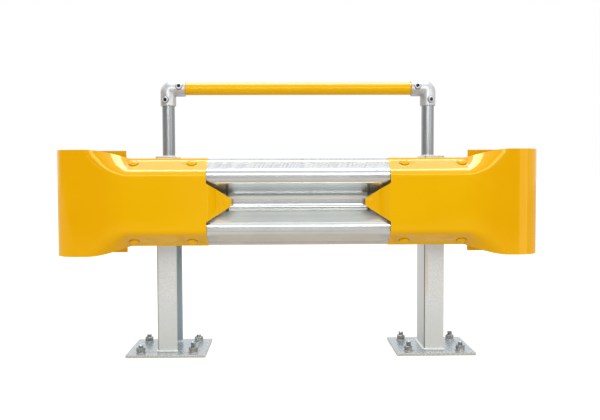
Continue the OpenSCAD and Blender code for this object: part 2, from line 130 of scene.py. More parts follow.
class Nodes:
    """Adds nodes to one tree."""

    def __init__(self, tree):
        self.tree = tree

    def node(self, kind, settings, values, output=0):
        """Add a node, set it up, fill or link its inputs, and give back one of its outputs."""
        made = self.tree.nodes.new(kind)
        for name, value in settings.items():
            if name == "stops":
                self.ramp(made, value)
            else:
                setattr(made, name, value)
        for name, value in values.items():
            self.put(made.inputs[name], value)
        return Value(self, made.outputs[output])

    def ramp(self, made, stops):
        """Give a colour ramp its (place, colour) stops."""
        line = made.color_ramp.elements
        line[0].position, line[1].position = stops[0][0], stops[-1][0]
        for at, colour in stops[1:-1]:
            line.new(at)
        for element, (at, colour) in zip(line, stops):
            element.color = (*colour, 1.0)

    def put(self, socket, value):
        """Link a shader value to a socket, or set a plain one on it."""
        if isinstance(value, Value):
            self.tree.links.new(value.socket, socket)
        else:
            socket.default_value = value

    def band(self, value, low, high):
        """0 below low, 1 above high, smooth between them."""
        return self.node("ShaderNodeMapRange", {"interpolation_type": "SMOOTHSTEP"},
                         {"Value": value, "From Min": low, "From Max": high})

    def near(self, value, middle, full, none):
        """1 within full of the middle, 0 beyond none from it, smooth between them."""
        return 1.0 - self.band(abs(value - middle), full, none)

    def split(self, vector):
        """The vector's X, Y and Z."""
        made = self.node("ShaderNodeSeparateXYZ", {}, {"Vector": vector}).socket.node
        return [Value(self, made.outputs[axis]) for axis in "XYZ"]


class Paint(Nodes):
    """One procedural material."""

    def __init__(self, name, **settings):
        self.material = bpy.data.materials.new(name)
        self.material.use_nodes = True
        super().__init__(self.material.node_tree)
        self.shader = self.tree.nodes["Principled BSDF"]
        for socket, value in settings.items():
            self.shader.inputs[socket.replace("_", " ")].default_value = value
        self.place = self.node("ShaderNodeTexCoord", {}, {}, "Object")

    def set(self, name, value):
        self.put(self.shader.inputs[name], value)

    def stretched(self, scale):
        """The place in space, scaled along each axis, to draw a noise out with."""
        return self.node("ShaderNodeMapping", {}, {"Vector": self.place, "Scale": scale})

    def noise(self, scale, detail=3.0, rough=0.55, at=None):
        return self.node("ShaderNodeTexNoise", {}, {
            "Vector": at or self.place, "Scale": scale, "Detail": detail,
            "Roughness": rough}, "Fac")

    def cells(self, scale):
        """A different random colour in each cell."""
        return self.node("ShaderNodeTexVoronoi", {}, {"Vector": self.place, "Scale": scale},
                         "Color")

    def mix(self, share, a, b, blend="MIX"):
        """From colour a at share 0 to colour b, or to a blended with b, at share 1."""
        a, b = [c if isinstance(c, Value) else (*c, 1.0) for c in (a, b)]
        return self.node("ShaderNodeMix", {"data_type": "RGBA", "blend_type": blend},
                         {0: share, 6: a, 7: b}, 2)

    def vectors(self, operation, a, b=None, output="Vector"):
        values = {0: a} if b is None else {0: a, 1: b}
        return self.node("ShaderNodeVectorMath", {"operation": operation}, values, output)

    def bump(self, height, strength, distance):
        self.set("Normal", self.node("ShaderNodeBump", {}, {
            "Height": height, "Strength": strength, "Distance": distance}))

    def axes(self):
        """The place along X, Y and Z."""
        return self.split(self.place)

    def faces(self):
        """How far the surface faces along X, Y and Z."""
        return self.split(self.node("ShaderNodeNewGeometry", {}, {}, "Normal"))


# ---- pieces ----

def solid(name, bm, paint, ride="root", sharp=32):
    """Turn finished mesh code into a piece of the object."""
    mesh = bpy.data.meshes.new(name)
    bmesh.ops.recalc_face_normals(bm, faces=bm.faces)
    bm.to_mesh(mesh)
    bm.free()
    return piece(name, mesh, paint, ride, sharp)


def piece(name, mesh, paint, ride="root", sharp=32):
    """Put a mesh in the scene with its paint, smooth up to the sharp angle in degrees."""
    made = bpy.data.objects.new(name, mesh)
    bpy.context.scene.collection.objects.link(made)
    mesh.materials.clear()
    mesh.materials.append(paint.material)
    for face in mesh.polygons:
        face.use_smooth = True
    mesh.set_sharp_from_angle(angle=math.radians(sharp))
    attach(made, ride)
    return made


def finished(node, paint, sharp=32):
    """A merged copy of a node's own mesh, smoothly shaded over its folds, stands for the node."""
    bm = bmesh.new()
    bm.from_mesh(nodes[node].data)
    bmesh.ops.remove_doubles(bm, verts=bm.verts, dist=SAME_POINT)
    mesh = bpy.data.meshes.new(node + "_finished")
    bm.to_mesh(mesh)
    bm.free()
    loose_normals = mesh.attributes.get("custom_normal")
    if loose_normals:
        mesh.attributes.remove(loose_normals)
    made = piece(node + "_finished", mesh, paint, sharp=sharp)
    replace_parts(made, node)
    return made


def coat(node, paint):
    """Paint a node that shows as it is."""
    for place in nodes[node].material_slots:
        place.material = paint.material


# ---- fasteners ----

def turned(profile, steps=32):
    """A shape turned about +Z from (radius, height) points that run from axis to axis, or
    round a closed ring when the last point is the first."""
    bm = bmesh.new()
    ring = profile[0] == profile[-1]
    line = [bm.verts.new((r, 0.0, z)) for r, z in (profile[:-1] if ring else profile)]
    edges = [bm.edges.new(pair) for pair in zip(line, line[1:])]
    if ring:
        edges.append(bm.edges.new((line[-1], line[0])))
    bmesh.ops.spin(bm, geom=line + edges, cent=(0, 0, 0), axis=(0, 0, 1), dvec=(0, 0, 0),
                   angle=2 * math.pi, steps=steps, use_merge=True, use_duplicate=False)
    bmesh.ops.remove_doubles(bm, verts=bm.verts, dist=TINY)
    return bm


def threaded_rod(d, pitch, low, high, steps=20):
    """A thread cut square at both ends, with a small chamfer on its upper end."""
    bm = bmesh.new()
    root, crest_from, crest_to = d / 2 - 0.6 * pitch, 0.42, 0.58
    shape = [(root, 0.0), (d / 2, crest_from), (d / 2, crest_to), (root, 1.0)]
    line = [bm.verts.new((r, 0.0, low + (z - 1) * pitch)) for r, z in shape]
    edges = [bm.edges.new(pair) for pair in zip(line, line[1:])]
    turns = math.ceil((high - low) / pitch) + 2
    bmesh.ops.spin(bm, geom=line + edges, cent=(0, 0, 0), axis=(0, 0, 1),
                   dvec=(0, 0, pitch / steps), angle=2 * math.pi * turns,
                   steps=steps * turns, use_merge=False, use_duplicate=False)
    bmesh.ops.remove_doubles(bm, verts=bm.verts, dist=TINY)
    for height, way in ((low, -1), (high, 1)):
        bmesh.ops.bisect_plane(bm, geom=bm.verts[:] + bm.edges[:] + bm.faces[:], dist=1e-7,
                               plane_co=(0, 0, height), plane_no=(0, 0, way), clear_outer=True)
        rim = [e for e in bm.edges if e.is_boundary
               and all(abs(v.co.z - height) < TINY for v in e.verts)]
        end = bmesh.ops.edgeloop_fill(bm, edges=rim)["faces"]
        if way > 0:
            bmesh.ops.inset_region(bm, faces=end, thickness=pitch * 0.45, depth=pitch * 0.3)
    return bm


def hex_nut(af, h, hole, steps=48):
    """A nut whose corners are turned off at both ends, standing on z = 0. Its bore is opened
    a little at both ends too."""
    edge = af / 2 * 0.96
    slope = math.tan(math.radians(30))
    drop = (af / 2 / math.cos(math.pi / 6) - edge) * slope
    levels = [0.0, drop * 0.35, drop * 0.7, drop, h - drop, h - drop * 0.7, h - drop * 0.35, h]
    mouth, lead = hole / 2 * 1.08, hole * 0.04
    bore = [(mouth, 0.0), (hole / 2, lead), (hole / 2, h - lead), (mouth, h)]
    wall = [(af, z) for z in levels]
    bm = turned(bore + wall[::-1] + [bore[0]], steps)
    for v in bm.verts:
        if v.co.xy.length > af * 0.9:
            turn = math.atan2(v.co.y, v.co.x) % (math.pi / 3) - math.pi / 6
            flat = af / 2 / math.cos(turn)
            cone = edge + min(v.co.z, h - v.co.z) / slope
            v.co.xy = v.co.xy.normalized() * min(flat, cone)
    return bm


def washer(d, hole, t):
    """A flat ring with its outer edges broken."""
    r, inner, edge = d / 2, hole / 2, t * 0.15
    return turned([(inner, 0), (r - edge, 0), (r, edge), (r, t - edge), (r - edge, t),
                   (inner, t), (inner, 0)], 40)


def domed_head(d, h):
    """A full domed head whose rim turns in over a fine gap."""
    r = d / 2
    shape = [(0.0, 1.0), (0.2, 0.985), (0.39, 0.94), (0.57, 0.85), (0.73, 0.71), (0.86, 0.53),
             (0.95, 0.33), (0.99, 0.19), (1.0, 0.12), (0.985, 0.07), (0.93, 0.05), (0.93, 0.0),
             (0.0, 0.0)]
    return turned([(r * a, h * b) for a, b in shape], 40)


def set_down(bm, part, place, axis=(0, 0, 1), turn=0.0):
    """Add a part to bm, its +Z laid along the axis, at a place."""
    way = Vector(axis).to_track_quat("Z", "Y").to_matrix().to_4x4()
    bmesh.ops.transform(part, verts=part.verts,
                        matrix=Matrix.Translation(place) @ way @ Matrix.Rotation(turn, 4, "Z"))
    mesh = bpy.data.meshes.new("part")
    part.to_mesh(mesh)
    part.free()
    bm.from_mesh(mesh)
    bpy.data.meshes.remove(mesh)


def islands(node):
    """The corner points of each separate solid of a node, in a fixed order."""
    bm = bmesh.new()
    bm.from_mesh(nodes[node].data)
    bmesh.ops.remove_doubles(bm, verts=bm.verts, dist=SAME_POINT)
    left, found = set(bm.verts), []
    bm.verts.index_update()
    while left:
        group, edge = set(), [next(iter(left))]
        while edge:
            v = edge.pop()
            if v not in group:
                group.add(v)
                edge.extend(e.other_vert(v) for e in v.link_edges)
        left -= group
        found.append([v.co.copy() for v in sorted(group, key=lambda v: v.index)])
    bm.free()
    return sorted(found, key=lambda group: [round(middle_of(group)[i], 4) for i in (0, 2)])


def middle_of(points):
    """The mean of some points."""
    return sum(points, Vector()) / len(points)


def seat(points, axis):
    """The middle of a solid's lowest face along an axis, and the solid's length."""
    along = [p.dot(axis) for p in points]
    low, high = min(along), max(along)
    level = 1e-4
    end = [p for p, a in zip(points, along) if a < low + level]
    lows = [min(p[i] for p in end) for i in range(3)]
    highs = [max(p[i] for p in end) for i in range(3)]
    return Vector([(a + b) / 2 for a, b in zip(lows, highs)]), high - low


def outward(points):
    """The way a fastener on the beam looks: up or down its outer slopes, or straight ahead."""
    rise = middle_of(points).z - beam_middle
    lean = 0.0 if abs(rise) < VALLEY_REACH else SLOPE_TURN
    return Vector((0.0, -math.cos(lean), math.copysign(math.sin(lean), rise)))


def add_shank(bm, thread, tail, axis, length):
    """A threaded rod from a bolt's tail, length along the axis, up to its head."""
    set_down(bm, threaded_rod(*thread, 0.0, length), tail + axis * length, -axis)


def add_nut(bm, points, axis, thread, flats, turn):
    """A chamfered nut in the place of a plain one."""
    base, length = seat(points, axis)
    set_down(bm, hex_nut(flats, length, thread[0]), base, axis, turn)


# ---- finishes ----

# Share of the beam's height, lowest first, and the tint laid on the zinc there: painted
# reflections, highlights and shade in bands across the folds
BEAM_PAINTED_BANDS = [(0.00, (0.94, 0.87, 0.78)), (0.10, (0.96, 0.90, 0.82)), (0.14, (1.0, 0.97, 0.92)),
             (0.158, (1.12, 1.12, 1.10)), (0.176, (0.84, 0.84, 0.83)), (0.20, (1.05, 1.06, 1.07)),
             (0.28, (1.08, 1.12, 1.10)), (0.38, (1.12, 1.18, 1.16)), (0.41, (0.78, 0.80, 0.81)),
             (0.46, (0.76, 0.78, 0.79)), (0.49, (0.80, 0.81, 0.80)), (0.545, (1.14, 1.09, 1.03)),
             (0.58, (0.72, 0.75, 0.71)), (0.61, (0.56, 0.58, 0.56)), (0.68, (0.70, 0.73, 0.70)),
             (0.72, (0.92, 0.90, 0.86)), (0.77, (1.0, 0.98, 0.94)), (0.798, (0.74, 0.75, 0.76)),
             (0.82, (1.0, 1.0, 0.99)), (0.86, (0.82, 0.85, 0.90)), (0.98, (0.80, 0.84, 0.89)),
             (1.00, (1.14, 1.15, 1.16))]


def galvanised_sheet():
    """Bright rolled zinc: fine streaks along the beam, painted reflections, highlights and shade
    in bands down its folds, cool above and warm below, speckled in the valley, scuffed slantwise
    on the upper slope."""
    paint = Paint("bright_zinc_sheet")
    streaks = paint.noise(1.0, 4.0, 0.6, paint.stretched((1.5, 220, 220)))
    cloud = paint.noise(7.0, 4.0, 0.6)
    grain = paint.noise(900.0, 2.0)
    x, y, z = paint.axes()
    low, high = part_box("beam")
    height = (z - low[2]) / (high[2] - low[2])
    upper = paint.band(height, 0.86, 0.90)
    valley = paint.near(height, 0.50, 0.03, 0.06)
    lip = paint.band(height, 0.975, 0.992)

    dark, light, cool = (0.70, 0.71, 0.72), (0.88, 0.885, 0.89), (0.80, 0.83, 0.87)
    scuffed, spotted = (0.50, 0.57, 0.68), (0.55, 0.56, 0.57)
    tone = streaks * 0.5 + cloud * 0.35 + grain * 0.15
    base = paint.mix(paint.band(tone, 0.3, 0.7), dark, light)
    # Painted reflections and shade: a tint in bands up the beam's height multiplies the zinc
    painted_bands = paint.node("ShaderNodeValToRGB", {"stops": BEAM_PAINTED_BANDS}, {"Fac": height})
    base = paint.mix(0.9, base, painted_bands, "MULTIPLY")
    base = paint.mix(upper * 0.6, base, cool)
    slanted = paint.node("ShaderNodeCombineXYZ", {}, {"X": (x - y * 0.28) * 430.0,
                                                      "Y": y * 9.0, "Z": z * 9.0})
    scuffs = paint.noise(1.0, 3.0, 0.7, slanted)
    base = paint.mix(upper * paint.band(scuffs, 0.48, 0.60) * 0.85, base, scuffed)
    spots = paint.band(paint.noise(260.0, 2.0), 0.45, 0.7) * valley
    paint.set("Base Color", paint.mix(spots * 0.5, base, spotted))

    # The zinc is duller on the lower crest's inner slope, beside the valley and on the lip
    dull = paint.near(height, 0.335, 0.045, 0.075).most(paint.near(height, 0.552, 0.012, 0.035))
    dull = dull.most(lip * 1.3)
    paint.set("Metallic", 0.9 - dull * 0.42)
    paint.set("Roughness", 0.12 + streaks * 0.08 + cloud * 0.05 - upper * 0.09)
    paint.bump(streaks * (0.6 - upper * 0.5) + grain * 0.3 + upper * scuffs * 0.5, 0.12, 0.0004)
    return paint


class Zinc(Paint):
    """Dipped or plated zinc: crystals in slightly different greys, clouds and dark specks."""

    def __init__(self, name, dark, light, cell, metallic=0.75, rough=0.42, cloudy=0.35):
        super().__init__(name, Metallic=metallic)
        self.large, self.small = [
            self.node("ShaderNodeSeparateColor", {}, {"Color": self.cells(scale)})
            for scale in (cell, cell * 2.7)]
        self.cloud = self.noise(11.0, 4.0, 0.6)
        self.grain = self.noise(800.0, 2.0)
        tone = (self.large * 0.5 + self.small * 0.35 + self.grain * 0.15) * (1.0 - cloudy)
        self.tone = self.band(tone + self.cloud * cloudy, 0.22, 0.78)
        self.specks = self.band(self.noise(330.0, 1.0, 0.4), 0.70, 0.76)
        self.base = self.mix(self.tone, dark, light)
        self.rough = rough - 0.05 + self.large * 0.06 + self.cloud * 0.08

    def cover(self, share, colour):
        self.base = self.mix(share, self.base, colour)

    def done(self, specks=0.3):
        """Lay the specks over the zinc and finish it."""
        self.cover(self.specks * specks, (0.2, 0.2, 0.2))
        self.set("Base Color", self.base)
        self.set("Roughness", self.rough)
        self.bump(self.cloud * 0.5 + self.grain * 0.2 + self.small * 0.3, 0.1, 0.0005)
        return self


def zinc(*sizes):
    return Zinc(*sizes).done()


def post_zinc(side):
    """Pale dipped channel: fine spangle with a painted highlight half way up, painted shade on
    the web with painted light and shade along its bend, painted shade inside, and one warm run
    down the right post."""
    paint = Zinc("dipped_zinc_" + side + "_post", (0.735, 0.765, 0.775), (0.80, 0.83, 0.84),
                 330, 0.3, 0.34, 0.4)
    low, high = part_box(side + "_post")
    x, y, z = paint.axes()
    across, facing, _ = paint.faces()

    spangle_dark, spangle_highlight, foot = (0.76, 0.79, 0.79), (1.0, 1.0, 0.99), (0.74, 0.74, 0.68)
    # Painted highlight: a band half way up the post is made paler, drawn as bright spangle
    spangle = paint.band(paint.small * 0.6 + paint.large * 0.4, 0.25, 0.8)
    spangle_and_highlight = paint.band(z, 0.12, 0.26) * (1.0 - paint.band(z, 0.30, 0.44))
    paint.cover(spangle_and_highlight * 0.75, paint.mix(spangle, spangle_dark, spangle_highlight))
    paint.cover((1.0 - paint.band(z, 0.02, 0.16)) * 0.5, foot)

    # Painted shade on the web; on the bend between it and the front flange, painted shade on the
    # left post and a painted highlight on the right, with a dark line of painted shade
    painted_web_shade, painted_bend_shade = (0.56, 0.58, 0.59), (0.20, 0.18, 0.15)
    painted_bend_tone = (0.55, 0.57, 0.58) if side == "left" else (0.95, 0.95, 0.93)
    paint.cover((1.0 - paint.band(across, -0.99, -0.9)) * 0.5, painted_web_shade)
    front = 1.0 - paint.band(y, low[1] + CHANNEL_R, low[1] + CHANNEL_R + 0.0005)
    paint.cover(front * paint.band(across * -1.0, 0.08, 0.4) * 0.35, painted_bend_tone)
    paint.cover(front * paint.band(across * -1.0, 0.55, 0.72) * 0.9, painted_bend_shade)

    # The flanges' cut edges, and painted shade inside the channel, darker towards the top
    edge, inside_shade_low, inside_shade_high = (0.80, 0.74, 0.64), (0.40, 0.50, 0.56), (0.20, 0.255, 0.245)
    edges = paint.band(x, high[0] - 0.0035, high[0] - 0.001)
    paint.cover(edges * 0.5, edge)
    within = paint.band(y, low[1] + 0.012, low[1] + 0.02)
    inner = within * (1.0 - paint.band(y, high[1] - 0.003, high[1] - 0.001))
    painted_inside_shade = inner * (1.0 - edges) * (1.0 - paint.band(facing, -0.9, -0.6))
    # Painted shade: the inside of the channel darkens towards the top
    depth = paint.band(z, 0.02, high[2] - 0.2)
    paint.cover(painted_inside_shade * 0.9, paint.mix(depth, inside_shade_low, inside_shade_high))

    if side == "right":
        warm = (0.86, 0.62, 0.42)
        run = paint.near(x, low[0] + 0.0105, 0.001, 0.006)
        span = paint.band(z, 0.20, 0.27) * (1.0 - paint.band(z, 0.36, 0.43)) * (1.0 - within)
        paint.cover(run * span * (0.25 + paint.cloud * 0.8), warm)
    return paint.done(0.15)


def plate_zinc():
    """Smooth dipped plate with cool and faintly pink clouds, its sawn edges paler and warmer."""
    paint = Zinc("dipped_zinc_plate", (0.39, 0.45, 0.485), (0.44, 0.495, 0.53), 260, 0.4, 0.24,
                 0.75)
    pink, sawn = (0.51, 0.485, 0.505), (0.66, 0.65, 0.58)
    paint.cover(paint.band(paint.noise(6.0, 3.0), 0.48, 0.72) * 0.5, pink)
    paint.cover(1.0 - paint.band(abs(paint.faces()[2]), 0.3, 0.7), sawn)
    return paint.done(0.12)


# A chip in the paint: its place outside and below the left cap's lower outer bolt, its radius
CHIP_AWAY, CHIP_BELOW, CHIP_R = 0.0195, 0.004, 0.0042
# How far from the middle of the rail the yellow starts to deepen under painted shade, and how far
# it stops
DEEPER_FROM, DEEPEST_FROM = 0.55, 0.72


def gloss_yellow():
    """Glossy powder coat with a faint peel, deeper in tone towards the far ends of the rail as
    painted shade, clearest where it faces up, and chipped to the metal beside one bolt."""
    paint = Paint("gloss_yellow_powder_coat", Specular_IOR_Level=0.5,
                  Specular_Tint=(1.0, 0.8, 0.3, 1.0), Coat_Roughness=0.07)
    cloud = paint.noise(5.0, 3.0)
    peel = paint.noise(220.0, 1.0, 0.5)
    x, _, z = paint.axes()

    bolt = middle_of(islands("left_cap_bolts")[0])
    along, up = x - (bolt.x - CHIP_AWAY), z - (bolt.z - CHIP_BELOW)
    away = (along * along + up * up * 3.0) ** 0.5 + paint.noise(500.0, 2.0) * 0.004
    chip = 1.0 - paint.band(away, CHIP_R, CHIP_R + 0.001)

    deep, bright, bare = (0.935, 0.48, 0.0), (1.0, 0.552, 0.0), (0.45, 0.46, 0.47)
    shaded_end_deep, shaded_end_bright = (0.89, 0.42, 0.0), (0.95, 0.482, 0.0)
    # Painted shade: the yellow deepens towards the far ends of the rail
    ends = paint.band(abs(x), DEEPER_FROM, DEEPEST_FROM)
    base = paint.mix(ends, paint.mix(cloud, deep, bright), paint.mix(cloud, shaded_end_deep, shaded_end_bright))
    paint.set("Base Color", paint.mix(chip, base, bare))
    paint.set("Metallic", chip * 0.8)
    facing_up = paint.band(paint.faces()[2], 0.15, 0.55)
    paint.set("Coat Weight", facing_up * 0.65)
    paint.set("Roughness", 0.07 + cloud * 0.05 + chip * 0.2)
    paint.bump(peel - chip * 2.0, 0.02, 0.0001)
    return paint


def tube_finish():
    """Drawn tube dipped in zinc: long runs and drips down it, with painted shade towards its
    sides, the right one most."""
    paint = Paint("dipped_zinc_tube", Metallic=0.8)
    runs = paint.noise(1.0, 3.0, 0.6, paint.stretched((170, 170, 5)))
    drips = paint.noise(1.0, 2.0, 0.5, paint.stretched((260, 260, 26)))
    grain = paint.noise(800.0, 2.0)
    tone = paint.band(runs * 0.55 + drips * 0.3 + grain * 0.15, 0.32, 0.68)
    dark, light, painted_right_shade = (0.36, 0.38, 0.39), (0.49, 0.515, 0.53), (0.22, 0.225, 0.23)
    edge, drip = (0.26, 0.26, 0.255), (0.25, 0.25, 0.25)
    base = paint.mix(tone, dark, light)
    # Painted shade: the tube's sides are darker, the right one most
    across = paint.faces()[0]
    right = paint.band(across, -0.05, 0.35)
    base = paint.mix(right * 0.5, base, painted_right_shade)
    edges = paint.band(abs(across), 0.45, 0.98)
    base = paint.mix(edges * (0.3 + right * 0.25), base, edge)
    paint.set("Base Color", paint.mix(paint.band(drips, 0.62, 0.74) * 0.4, base, drip))
    paint.set("Roughness", 0.30 + runs * 0.1)
    paint.bump(runs * 0.5 + drips * 0.2 + grain * 0.3, 0.12, 0.0003)
    return paint


def screw_mouths(side):
    """The middle of each boss's mouth, and the way it looks: up on the rail's arm of the
    elbow, out to its own side on the upright's arm."""
    out = -1 if side == "left" else 1
    upright_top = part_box(side + "_upright")[1][2]
    ahead, aside = -math.cos(SCREW_TURN), math.sin(SCREW_TURN)
    found = []
    for points in islands(side + "_set_screws"):
        middle = middle_of(points)
        on_rail = middle.z > upright_top - 0.01
        axis = Vector((0.0, ahead, aside) if on_rail else (out * aside, ahead, 0.0))
        end = max(p.dot(axis) for p in points)
        found.append((middle + axis * (end - middle.dot(axis) + SCREW_DEPTH), axis))
    return found


screws = {side: screw_mouths(side) for side in SIDES}


def casting():
    """Cast fitting dipped in zinc: soft cloudy greys over a fine sandy grain, painted shade on
    its sides and top, and a ring of painted shade round each set screw's boss."""
    paint = Paint("dipped_zinc_casting", Metallic=0.65)
    cloud = paint.noise(26.0, 4.0, 0.6)
    sand = paint.noise(420.0, 2.0)
    tone = paint.band(cloud * 0.75 + sand * 0.25, 0.36, 0.66)
    dark, light, painted_side_shade = (0.54, 0.55, 0.565), (0.72, 0.73, 0.745), (0.36, 0.36, 0.36)
    painted_top_shade, painted_boss_shade = (0.42, 0.43, 0.44), (0.20, 0.20, 0.20)
    base = paint.mix(tone, dark, light)
    # Painted shade on the sides and on the top
    across, _, up = paint.faces()
    base = paint.mix(paint.band(abs(across), 0.6, 1.0) * 0.45, base, painted_side_shade)
    base = paint.mix(paint.band(up, 0.5, 1.0) * 0.4, base, painted_top_shade)
    # A ring of painted shade round each boss's edge
    for middle, axis in screws["left"] + screws["right"]:
        away = paint.vectors("SUBTRACT", paint.place, middle)
        distance = paint.vectors("LENGTH", away, output="Value")
        off_axis = paint.vectors("LENGTH", paint.vectors("CROSS_PRODUCT", away, axis),
                                 output="Value")
        ring = (paint.band(off_axis, BOSS_R - 0.0009, BOSS_R + 0.0001)
                * (1.0 - paint.band(off_axis, BOSS_R + 0.0011, BOSS_R + 0.0025)))
        at_boss = 1.0 - paint.band(distance, 0.020, 0.024)
        base = paint.mix(ring * at_boss * 0.75, base, painted_boss_shade)
    paint.set("Base Color", base)
    paint.set("Roughness", 0.36 + cloud * 0.1)
    paint.bump(cloud * 0.4 + sand * 0.6, 0.15, 0.0004)
    return paint


def painted_head_shadow():
    """A painted shadow, dark brown and thinner in places."""
    paint = Paint("painted_head_shadow", Specular_IOR_Level=0.3)
    thick, thin = (0.16, 0.075, 0.005), (0.50, 0.25, 0.01)
    patchy = paint.band(paint.noise(180.0, 3.0), 0.35, 0.7)
    paint.set("Base Color", paint.mix(patchy, thick, thin))
    paint.set("Roughness", 0.5 + patchy * 0.2)
    paint.bump(patchy, 0.1, 0.0003)
    return paint


beam_zinc = galvanised_sheet()
head_shadow_paint = painted_head_shadow()
post_finish = {side: post_zinc(side) for side in SIDES}
plate_finish = plate_zinc()
tube_zinc = tube_finish()
cast_zinc = casting()
weld_zinc = zinc("dipped_zinc_weld", (0.80, 0.81, 0.80), (0.95, 0.95, 0.93), 300, 0.3, 0.3)
dark_zinc = zinc("dark_plated_zinc", (0.16, 0.165, 0.17), (0.32, 0.33, 0.34), 260, 0.9, 0.38)
stud_zinc = zinc("anchor_stud_zinc", (0.34, 0.36, 0.40), (0.56, 0.58, 0.62), 200, 0.9, 0.2)
nut_zinc = zinc("anchor_nut_zinc", (0.30, 0.30, 0.295), (0.46, 0.455, 0.44), 200, 0.9, 0.24)
washer_zinc = zinc("washer_zinc", (0.50, 0.50, 0.49), (0.68, 0.68, 0.67), 200, 0.7, 0.3)
black_oxide = zinc("black_oxide", (0.012, 0.012, 0.013), (0.03, 0.03, 0.032), 300, 0.4, 0.35)
yellow = gloss_yellow()


def cap_bolts(side):
    """Painted domed heads on the cap, each with a ring of painted shadow round it, and bare
    threaded ends and nuts behind the beam."""
    heads, shadow_rings, ends, nuts = bmesh.new(), bmesh.new(), bmesh.new(), bmesh.new()
    for points in islands(side + "_cap_bolts"):
        axis = outward(points)
        tail, length = seat(points, axis)
        foot = tail + axis * (length - HEAD_H)
        set_down(heads, domed_head(HEAD_D, HEAD_H), foot, axis)
        # A ring of painted shadow round the head, shifted towards the floor
        shadow_shift = Vector((0.0, 0.0, -SHADOW_RING_DROP)) - axis * (-SHADOW_RING_DROP * axis.z)
        set_down(shadow_rings, washer(SHADOW_RING_D, SHADOW_RING_HOLE, SHADOW_RING_T), foot + shadow_shift, axis)
        add_shank(ends, M16, tail, axis, length - HEAD_H - SHEET_T)
    for k, points in enumerate(islands(side + "_cap_nuts")):
        add_nut(nuts, points, outward(points), M16, M16_FLATS, 0.4 * k)
    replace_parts(solid(side + "_cap_bolt_heads", heads, yellow),
                side + "_cap_bolts")
    solid(side + "_cap_bolt_grime", shadow_rings, head_shadow_paint)
    solid(side + "_cap_bolt_ends", ends, dark_zinc)
    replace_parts(solid(side + "_cap_bolt_nuts", nuts, dark_zinc),
                side + "_cap_nuts")


def beam_bolt(side):
    """The domed bolt in the valley that holds the beam to its spacer."""
    bolt, nut = bmesh.new(), bmesh.new()
    tail, length = seat(islands(side + "_beam_bolt")[0], AHEAD)
    set_down(bolt, domed_head(HEAD_D, HEAD_H), tail + AHEAD * (length - HEAD_H), AHEAD)
    add_shank(bolt, M16, tail, AHEAD, length - HEAD_H + BITE)
    add_nut(nut, islands(side + "_beam_nut")[0], AHEAD, M16, M16_FLATS, 0.3)
    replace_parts(solid(side + "_valley_bolt", bolt, dark_zinc),
                side + "_beam_bolt")
    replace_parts(solid(side + "_valley_nut", nut, dark_zinc),
                side + "_beam_nut")


def screw_collars(side):
    """The rounded lip round the mouth of each set screw's boss."""
    lip = [(0.0068, -0.002), (0.0068, 0.0004), (0.0076, 0.0010), (0.0088, 0.0012),
           (0.0100, 0.0009), (0.0108, 0.0002), (0.0110, -0.002), (0.0068, -0.002)]
    lips = bmesh.new()
    for middle, axis in screws[side]:
        set_down(lips, turned(lip, 40), middle, axis)
    solid(side + "_screw_collars", lips, cast_zinc)


def tongue_bolt(side):
    """The flush painted bolt through the tongue, and its nut behind the beam."""
    head_in, rod_in = 0.0015, 0.002
    low_dome = [(0, 0.0007), (0.0095, 0.0007), (0.011, 0.0006), (0.0118, 0.00035), (0.012, 0),
                (0, 0)]
    head, end, nut = bmesh.new(), bmesh.new(), bmesh.new()
    tail, length = seat(islands(side + "_tongue_bolt")[0], AHEAD)
    set_down(head, turned(low_dome, 40), tail + AHEAD * (length - head_in), AHEAD)
    add_shank(end, M12, tail, AHEAD, length - rod_in)
    add_nut(nut, islands(side + "_tongue_nut")[0], AHEAD, M12, M12_FLATS, 0.2)
    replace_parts(solid(side + "_tongue_bolt_head", head, yellow),
                side + "_tongue_bolt")
    solid(side + "_tongue_bolt_end", end, dark_zinc)
    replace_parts(solid(side + "_tongue_bolt_nut", nut, dark_zinc),
                side + "_tongue_nut")


def spacer_bolts(side):
    """Hexagon bolts from the spacer into the post, with nuts in the post."""
    core, core_hole = [(0, 0.0122), (0.0095, 0.0122), (0.0098, 0.0), (0, 0)], 0.004
    bolts, nuts = bmesh.new(), bmesh.new()
    for k, points in enumerate(islands(side + "_spacer_bolts")):
        tail, length = seat(points, AHEAD)
        foot = tail + AHEAD * (length - HEX_HEAD_H)
        set_down(bolts, hex_nut(M16_FLATS, HEX_HEAD_H, core_hole), foot, AHEAD, 0.5 + k)
        set_down(bolts, turned(core), foot, AHEAD)
        add_shank(bolts, M16, tail, AHEAD, length - HEX_HEAD_H + BITE)
    for k, points in enumerate(islands(side + "_spacer_nuts")):
        add_nut(nuts, points, AHEAD, M16, M16_FLATS, 0.2 + 0.3 * k)
    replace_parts(solid(side + "_spacer_bolt_set", bolts, dark_zinc),
                side + "_spacer_bolts")
    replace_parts(solid(side + "_spacer_nut_set", nuts, dark_zinc),
                side + "_spacer_nuts")


def eased(made, width):
    """Break a plate's sharp edges."""
    bevel = made.modifiers.new("eased edges", "BEVEL")
    bevel.width, bevel.segments, bevel.limit_method = width, 2, "ANGLE"
    bevel.angle_limit = math.radians(50)
    bevel.harden_normals = False
    return made


# ---- welds ----

